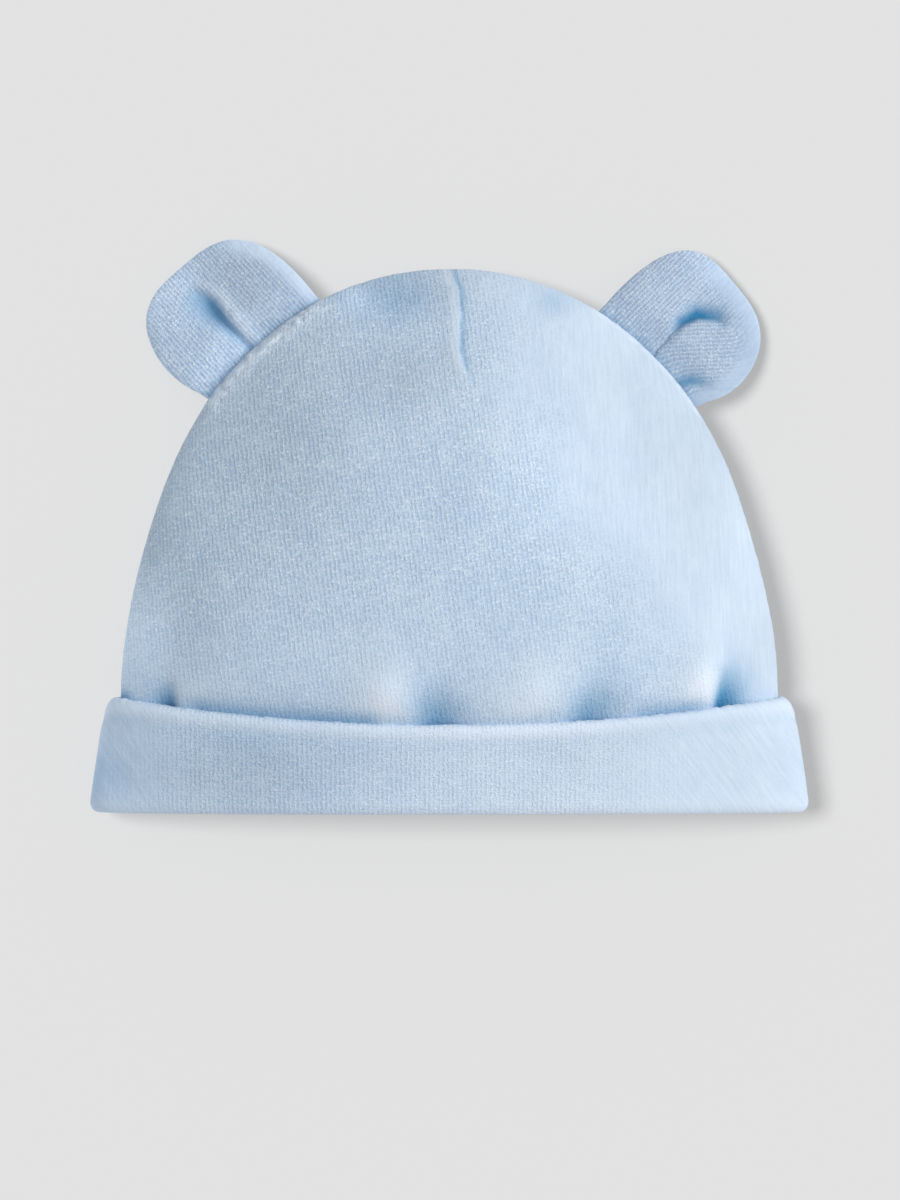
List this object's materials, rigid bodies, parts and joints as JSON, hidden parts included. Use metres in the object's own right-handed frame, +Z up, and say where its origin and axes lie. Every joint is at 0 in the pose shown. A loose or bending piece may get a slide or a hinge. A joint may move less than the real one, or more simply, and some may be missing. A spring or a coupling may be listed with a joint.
{
  "type": "baby hat with ears",
  "caption": "Soft velour baby hat lying flat, with a rounded crown, small rounded ears set into the side seam, and a turned-up cuff around the mouth.",
  "frame": {"origin": "middle of the hat's plan, on the surface that it lies on", "axes": "+X across the hat from ear to ear, +Y from its mouth to its top, +Z up from the surface that it lies on"},
  "size_m": [0.175, 0.14, 0.0326],
  "materials": {
    "crown_cloth": "pale blue velour with fine ribs",
    "cuff_cloth": "pale blue velour with fine ribs",
    "ear_cloth": "pale blue velour with fine ribs"
  },
  "bodies": {
    "root": {"crown_front": "crown_cloth", "crown_back": "crown_cloth", "cuff": "cuff_cloth", "ear_left_front": "ear_cloth", "ear_left_back": "ear_cloth", "ear_right_front": "ear_cloth", "ear_right_back": "ear_cloth"}
  },
  "joints": []
}
